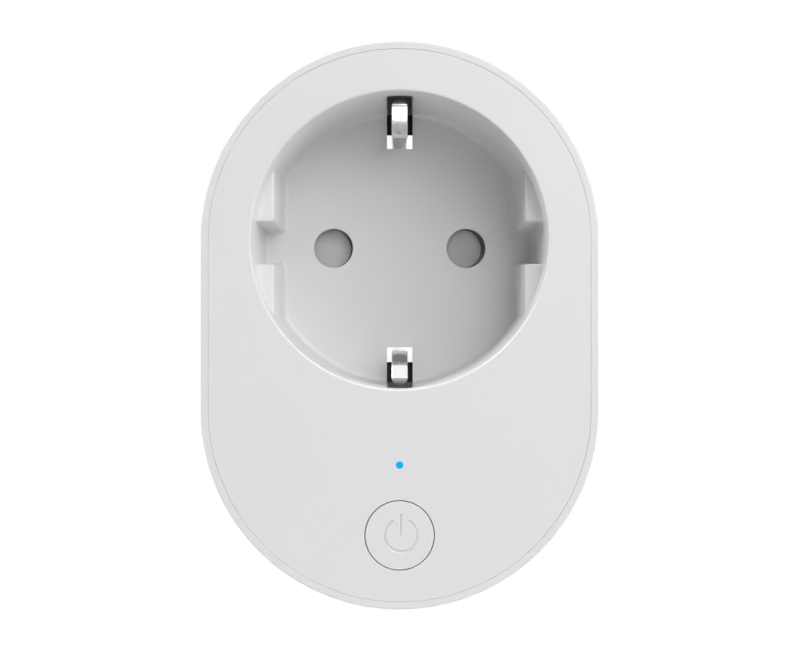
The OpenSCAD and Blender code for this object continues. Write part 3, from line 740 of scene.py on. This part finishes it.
bright = material("bright_nickel_clip", (0.92, 0.92, 0.915), 0.17, metal=1, fine=0.11,
                  stretch=(1, 0.04, 0.04), grain=0.04, spread=0.04)
# the clip's leg below a depth of about 33 mm gets painted shade; its tip turns a dull grey
dull_tip_and_shade = dull_tip_shaded_leg(bright, middle_z=0.0002, tip_start=0.01822, shade_start=-0.0338, shade_end=-0.0330)
for word, build in (("upper", clip), ("lower", lower(clip))):
    body, node = f"{word}_clip", f"{word}_earth_clip"
    finish_piece(solid(build), f"earth_clip_{word}", body, dull_tip_and_shade, node, angle=50)


def strap(bm):
    """The strip across the plug's root, with a foot under each clip."""
    foot_h, middle_h, foot_out, leg_y = FLOOR_BACK - STRIP_T / 2, 16 + STRIP_T / 2, 16.35, 12.3
    half = [(leg_y, middle_h), (leg_y, foot_h), (foot_out, foot_h)]
    line = [(-y, h) for y, h in reversed(half)] + half
    strip(bm, rounded(line, 0.5), 5.0, STRIP_T)


def rivet_holes(bm):
    """The holes for the two rivets that join the strap to the earth contacts of the plug."""
    for side in SIDES:
        turned(bm, 0, side * RIVET_Y, [(RIVET_R, 14), (RIVET_R, 18)], 32)


ob = combine(solid(strap), rivet_holes)
finish_piece(ob, "strap", "base", M["earth_metal"], "earth_strap", angle=50)


def shade_blocks(bm):
    """The black blocks behind the feet of the strap. Their black is painted shade: it keeps what is seen
    through the clip slots dark.
    """
    for side in SIDES:
        side_block(bm, side, 4.5, 13, 20.3, JOINT, FLOOR_BACK - 0.85, edge=0.2)


# black as painted shade for the view through the clip slots
finish_piece(solid(shade_blocks), "painted_shade_pads", "base", M["black_plastic"], "strap_pads")


def shade_sheets(bm):
    """Painted shade: a dark sheet over the edge of the slot, the ledge and the outer wall of each clip
    pocket, where these lie in shade.
    """
    edge_in, edge_out, wall_in, wall_out = 19.2, 19.28, 21.42, 21.58
    foot, ledge_in, ledge_out, top = 24.6, FLOOR + 0.1, FLOOR + 0.02, POCKET_TOP - 0.1
    outline = [(edge_in, foot), (edge_in, ledge_in), (wall_in, ledge_in), (wall_in, top)]
    outline += [(wall_out, top), (wall_out, ledge_out), (edge_out, ledge_out), (edge_out, foot)]
    for side in SIDES:
        prism(bm, [(side * y, h) for y, h in outline], -1.7, 1.7)


# a dark grey that stands in for the shade inside the clip pockets: painted shade
dark = material("painted_shade_sheet", (0.15, 0.15, 0.152), 0.6, fine=0.2, grain=0.1)
finish_piece(solid(shade_sheets), "pocket_painted_shade", "base", dark, "strap_pads")


# ------------------------------------------------------------------ earth contacts of the plug
def plug_strip(bm):
    """The upper earth contact: from the strap's rivet out to the groove in the plug body and along it."""
    line = [(5.6, 15.6), (15.4, 15.6), (15.4, 13.2), (15.62, 10.0), (15.62, 6.0), (15.4, 2.6), (15.4, 1.0)]
    strip(bm, rounded(line, 0.45, 5), 4.6, STRIP_T, 0.12)


for word, build in (("upper", plug_strip), ("lower", lower(plug_strip))):
    ob = combine(solid(build), rivet_holes)
    name, node = f"plug_strip_{word}", f"plug_earth_{word}"
    finish_piece(ob, name, "base", M["earth_metal"], node, angle=50)


# ------------------------------------------------------------------ shutter
def shutter(bm):
    block(bm, -14, 19.3, -3.4, 3.4, SHUTTER_H, SHUTTER_H + 1, edge=0.08)


def shutter_more(bm):
    """The pads that close the pin holes, and the arm that the spring pushes on."""
    r, edge, pad_top = 2.8, 0.12, FLOOR - 2.5
    for side, shift in ((-1, 0.28), (1, 0.47)):
        profile = [(r, SHUTTER_H + 0.2)] + arc(r - edge, pad_top - edge, edge, 0, 90, 3)
        turned(bm, side * PIN_X - shift, 0, profile, 80)
    block(bm, 7, 8.2, 3.2, 7.3, SHUTTER_H, SHUTTER_H + 1.7)


def shutter_windows(bm):
    """The windows that come under the pin holes when the shutter is open."""
    for side in SIDES:
        turned(bm, side * PIN_X + SHUTTER_TRAVEL, 0, [(2.7, 20), (2.7, 25)], 64)


ob = solid(shutter)
combine(ob, shutter_more, "UNION")
combine(ob, shutter_windows)
finish_piece(ob, "shutter", "shutter", M["inner_white"], "shutter_slider")

spring_lo, spring_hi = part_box("shutter_spring")
SPRING_X0, SPRING_X1 = spring_lo.x * 1000 + 0.1, spring_hi.x * 1000 - 0.1


def spring(bm):
    """A coil that stands between a rib of the front plate and the shutter's arm."""
    coil_r, wire_r, turns, steps, sides = 0.89, 0.15, 11, 22, 8
    section = arc(0, 0, wire_r, 0, 360 - 360 / sides, sides - 1)
    y, h, length = 6.1, FLOOR_BACK - 1.8, SPRING_X1 - SPRING_X0
    pitch = length / turns / (2 * math.pi)
    rings = []
    for i in range(turns * steps + 1):
        a = 2 * math.pi * i / steps
        out = Vector((0, math.cos(a), math.sin(a)))
        along = Vector((pitch, -coil_r * math.sin(a), coil_r * math.cos(a))).normalized()
        across = along.cross(out)
        centre = Vector((SPRING_X0 + length * i / (turns * steps), y, h)) + out * coil_r
        rings.append([centre + u * out + v * across for u, v in section])
    loft(bm, rings)


coil = solid(spring)
finish_piece(coil, "return_spring", None, M["spring_steel"], "shutter_spring", angle=60)
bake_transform(coil)


# ------------------------------------------------------------------ fixed contact of the relay
contact_lo, contact_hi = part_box("relay_contacts")
CONTACT_X0, CONTACT_X1 = contact_lo.x * 1000, contact_hi.x * 1000
CONTACT_Y, CONTACT_H = middle("relay_contacts", Z), -contact_hi.y * 1000


def contact_leaf(bm):
    y0, y1 = CONTACT_Y - 0.65, CONTACT_Y + 0.65
    block(bm, CONTACT_X0, CONTACT_X0 + 0.5, y0, y1, CONTACT_H, CONTACT_H + 3.4, edge=0.06)


def contact_rivet(bm):
    """The rivet that the armature meets, as (x, radius) turned round an axis across the relay."""
    tip = CONTACT_X1 - 0.14
    profile = [(CONTACT_X0 + 0.4, 0.6), (tip - 0.1, 0.6), (tip - 0.03, 0.53), (tip, 0.4)]
    sides = 32
    rings = []
    for x, r in profile:
        circle = arc(CONTACT_Y, CONTACT_H + 2.0, r, 0, 360 - 360 / sides, sides - 1)
        rings.append([(x, y, h) for y, h in circle])
    loft(bm, rings)


ob = combine(solid(contact_leaf), contact_rivet, "UNION")
finish_piece(ob, "relay_contact", "base", M["contact_brass"], "relay_contacts")


# ------------------------------------------------------------------ button and light
def button(bm):
    """The button: a stem that meets the switch, a flange behind the front plate, and the face."""
    r, edge, flange_r = BUTTON_R, 0.06, BUTTON_R + 0.7
    flange_h0, flange_h1 = PLATE_BACK - 1.1, PLATE_BACK - 0.25
    profile = [(1.2, 39.4), (1.2, flange_h0), (flange_r, flange_h0), (flange_r, flange_h1), (r, flange_h1)]
    turned(bm, 0, BUTTON_Y, profile + arc(r - edge, FRONT - edge, edge, 0, 90, 4), 128)


def trench(bm, path):
    """A groove's solid along a path of (x, y), with sloping sides and round ends."""
    shift, half, half_deep, depth = 0.15, 0.2, 0.13, 0.14

    def cap(end, before, w):
        a = math.degrees(math.atan2(end[1] - before[1], end[0] - before[0]))
        return arc(end[0], end[1], w, a - 90, a + 90, 8)[1:-1]

    rings = []
    for w, h in ((half + 0.1, FRONT + 0.1), (half, FRONT), (half_deep, FRONT - depth)):
        left, right = [], []
        for i, (x, y) in enumerate(path):
            t = tangent(path, i)
            left.append((x - t.y * w, y + t.x * w))
            right.append((x + t.y * w, y - t.x * w))
        ring = right + cap(path[-1], path[-2], w) + left[::-1] + cap(path[0], path[1], w)
        rings.append([(x + shift, y + BUTTON_Y, h) for x, y in ring])
    loft(bm, rings)


def power_symbol(bm):
    gap = 31  # degrees on each side of the bar
    trench(bm, arc(0, 0, 2.12, 90 + gap, 360 + 90 - gap, 72))
    trench(bm, [(0, 0.1 + 2.5 * i / 8) for i in range(9)])


ob = combine(solid(button), power_symbol)
finish_piece(ob, "button_cap", "button", M["white_button"], "power_button", angle=28)


def light(bm):
    """The light pipe: a pin with a flange behind the front plate."""
    r, edge, flange_r, flange_h0, flange_h1 = LIGHT_R, 0.03, 1.1, 40, PLATE_BACK - 0.02
    profile = [(r, 37.8), (r, flange_h0), (flange_r, flange_h0), (flange_r, flange_h1), (r, flange_h1)]
    turned(bm, 0, LIGHT_Y, profile + arc(r - edge, FRONT - edge, edge, 0, 90, 3), 64)


finish_piece(solid(light), "light_tip", "base", M["light_blue"], "light_pipe")


# ------------------------------------------------------------------ screws
def screws(bm):
    """The four cover screws: a thread drawn as a plain pin, and a domed head."""
    thread_r, head_r, seat, rim = 0.8, 1.7, BACK + HEAD_DEPTH, BACK + 0.75
    profile = [(0.62, BACK + 11), (thread_r, BACK + 10.6), (thread_r, seat), (head_r, seat), (head_r, rim)]
    profile += [(head_r * cosine(a), rim - 0.35 * sine(a)) for a in (20, 40, 55, 70)]
    for x, y in POSTS:
        turned(bm, x, y, profile, 40)


def crosses(bm):
    """The cross recess in each screw's head."""
    arm = [(-0.2, -1.05), (0.2, -1.05), (0.2, -0.2)]
    cross = []
    for _ in range(4):
        cross += arm
        arm = [(-y, x) for x, y in arm]
    for x, y in POSTS:
        rings = []
        for size, h in ((1.0, BACK), (1.0, BACK + 0.45), (0.6, BACK + 1.0)):
            rings.append([(x + u * size, y + v * size, h) for u, v in cross])
        loft(bm, rings)


ob = combine(solid(screws), crosses)
finish_piece(ob, "screws", "base", M["screw_steel"], "cover_screws")

# ------------------------------------------------------------------ stage, light, camera
scene = bpy.context.scene
pale = material("pale_floor", (0.64, 0.64, 0.64), 0.7, grain=0.02, grain_scale=40)


def stage_object(name, corners):
    """One flat face in the floor's material, in metres, that isn't part of the object."""
    mesh = bpy.data.meshes.new(name)
    mesh.from_pydata(corners, [], [range(len(corners))])
    mesh.materials.append(pale)
    ob = bpy.data.objects.new(name, mesh)
    scene.collection.objects.link(ob)
    return ob


def world_shader():
    """White behind the object, bright bands by height for what shines, and almost no light otherwise."""
    world = bpy.data.worlds.new("studio")
    world.use_nodes = True
    scene.world = world
    nodes, links = world.node_tree.nodes, world.node_tree.links

    def background(node, strength):
        node.inputs["Color"].default_value = (1, 1, 1, 1)
        node.inputs["Strength"].default_value = strength
        return node.outputs["Background"]

    def choose(factor, off, on):
        node = nodes.new("ShaderNodeMixShader")
        links.new(factor, node.inputs["Fac"])
        links.new(off, node.inputs[1])
        links.new(on, node.inputs[2])
        return node.outputs["Shader"]

    fill = background(nodes["Background"], 0.006)
    backdrop = background(nodes.new("ShaderNodeBackground"), 1.0)
    coord = nodes.new("ShaderNodeTexCoord")
    split = nodes.new("ShaderNodeSeparateXYZ")
    height = nodes.new("ShaderNodeMapRange")
    height.inputs["From Min"].default_value = -1
    ramp = nodes.new("ShaderNodeValToRGB")
    floor_glow = [(-0.75, 1.0), (-0.6, 0.45), (-0.3, 0.28), (-0.12, 0.35)]
    window = [(-0.04, 0.95), (0.16, 0.95)]
    overhead = [(0.26, 0.40), (0.6, 0.38), (0.8, 0.9), (0.9, 1.0)]
    bands = floor_glow + window + overhead  # (height of the direction, brightness)
    while len(ramp.color_ramp.elements) < len(bands):
        ramp.color_ramp.elements.new(0.5)
    for stop, (z, level) in zip(ramp.color_ramp.elements, bands):
        stop.position = (z + 1) / 2
        stop.color = (level, level, level, 1)
    mirrored = nodes.new("ShaderNodeBackground")
    links.new(coord.outputs["Generated"], split.inputs["Vector"])
    links.new(split.outputs["Z"], height.inputs["Value"])
    links.new(height.outputs["Result"], ramp.inputs["Fac"])
    links.new(ramp.outputs["Color"], mirrored.inputs["Color"])
    ray = nodes.new("ShaderNodeLightPath")
    unseen = choose(ray.outputs["Is Glossy Ray"], fill, mirrored.outputs["Background"])
    seen = choose(ray.outputs["Is Camera Ray"], unseen, backdrop)
    links.new(seen, nodes["World Output"].inputs["Surface"])


def panel(name, azimuth, elevation, size, power, distance=0.75, aim=(0, -0.035, -0.011)):
    """A soft square light at an azimuth and elevation round the object; azimuth 0 is in front of it."""
    data = bpy.data.lights.new(name, "AREA")
    data.shape = "RECTANGLE"
    data.size = data.size_y = size
    data.energy = power
    ob = bpy.data.objects.new(name, data)
    scene.collection.objects.link(ob)
    a, e = math.radians(azimuth), math.radians(elevation)
    ahead = Vector((math.sin(a) * math.cos(e), -math.cos(a) * math.cos(e), math.sin(e)))
    ob.location = Vector(aim) + distance * ahead
    ob.rotation_euler = (Vector(aim) - ob.location).to_track_quat("-Z", "Y").to_euler()
    return ob


def flag(name, corners):
    """A card behind the plane of the front face. It keeps high lights off the shell and isn't seen itself."""
    ob = stage_object(name, corners)
    ob.visible_camera = ob.visible_glossy = False


def camera():
    cam = bpy.data.objects.new("camera", bpy.data.cameras.new("camera"))
    scene.collection.objects.link(cam)
    cam.location = (0.00018, -0.2125, -0.0110)
    cam.rotation_euler = (math.radians(90), 0, 0)
    cam.data.lens = 58.5
    cam.data.sensor_width = 36
    cam.data.clip_start = 0.01
    cam.data.clip_end = 20
    scene.camera = cam


FLOOR_R, FLOOR_Z = 0.3, -0.15
stage_object("floor", [(x, y, FLOOR_Z) for x, y in arc(0, 0, FLOOR_R, 0, 360 - 3.75, 95)])
scene.view_settings.view_transform = "Standard"
scene.view_settings.look = "None"
scene.view_settings.exposure = 0
scene.view_settings.gamma = 1
world_shader()
panel("key", 30, 30, 0.70, 3.26)
panel("front", 15, 20, 0.38, 0.36)
panel("wide", 20, 15, 1.10, 0.72)
panel("left", -75, 45, 0.38, 5.8)
panel("right", 75, 20, 0.38, 1.45)
panel("right_low", 75, -10, 0.38, 1.12)
panel("back", 165, 8, 0.60, 2.4)
panel("back_left", -150, 5, 0.60, 0.9)
card = panel("card", 0, -60.7, 0.045, 0.0085, distance=0.12, aim=(0, -0.0385, 0.017))
card.visible_camera = card.visible_diffuse = False  # only the upper clip mirrors it
flag("flag_top", [(x, y, 0.052) for x, y in ((-0.15, -0.0433), (0.15, -0.0433), (0.15, 0.08), (-0.15, 0.08))])
flag("flag_side", [(0.056, y, z) for y, z in ((-0.038, -0.12), (0.08, -0.12), (0.08, 0.05), (-0.038, 0.05))])
camera()
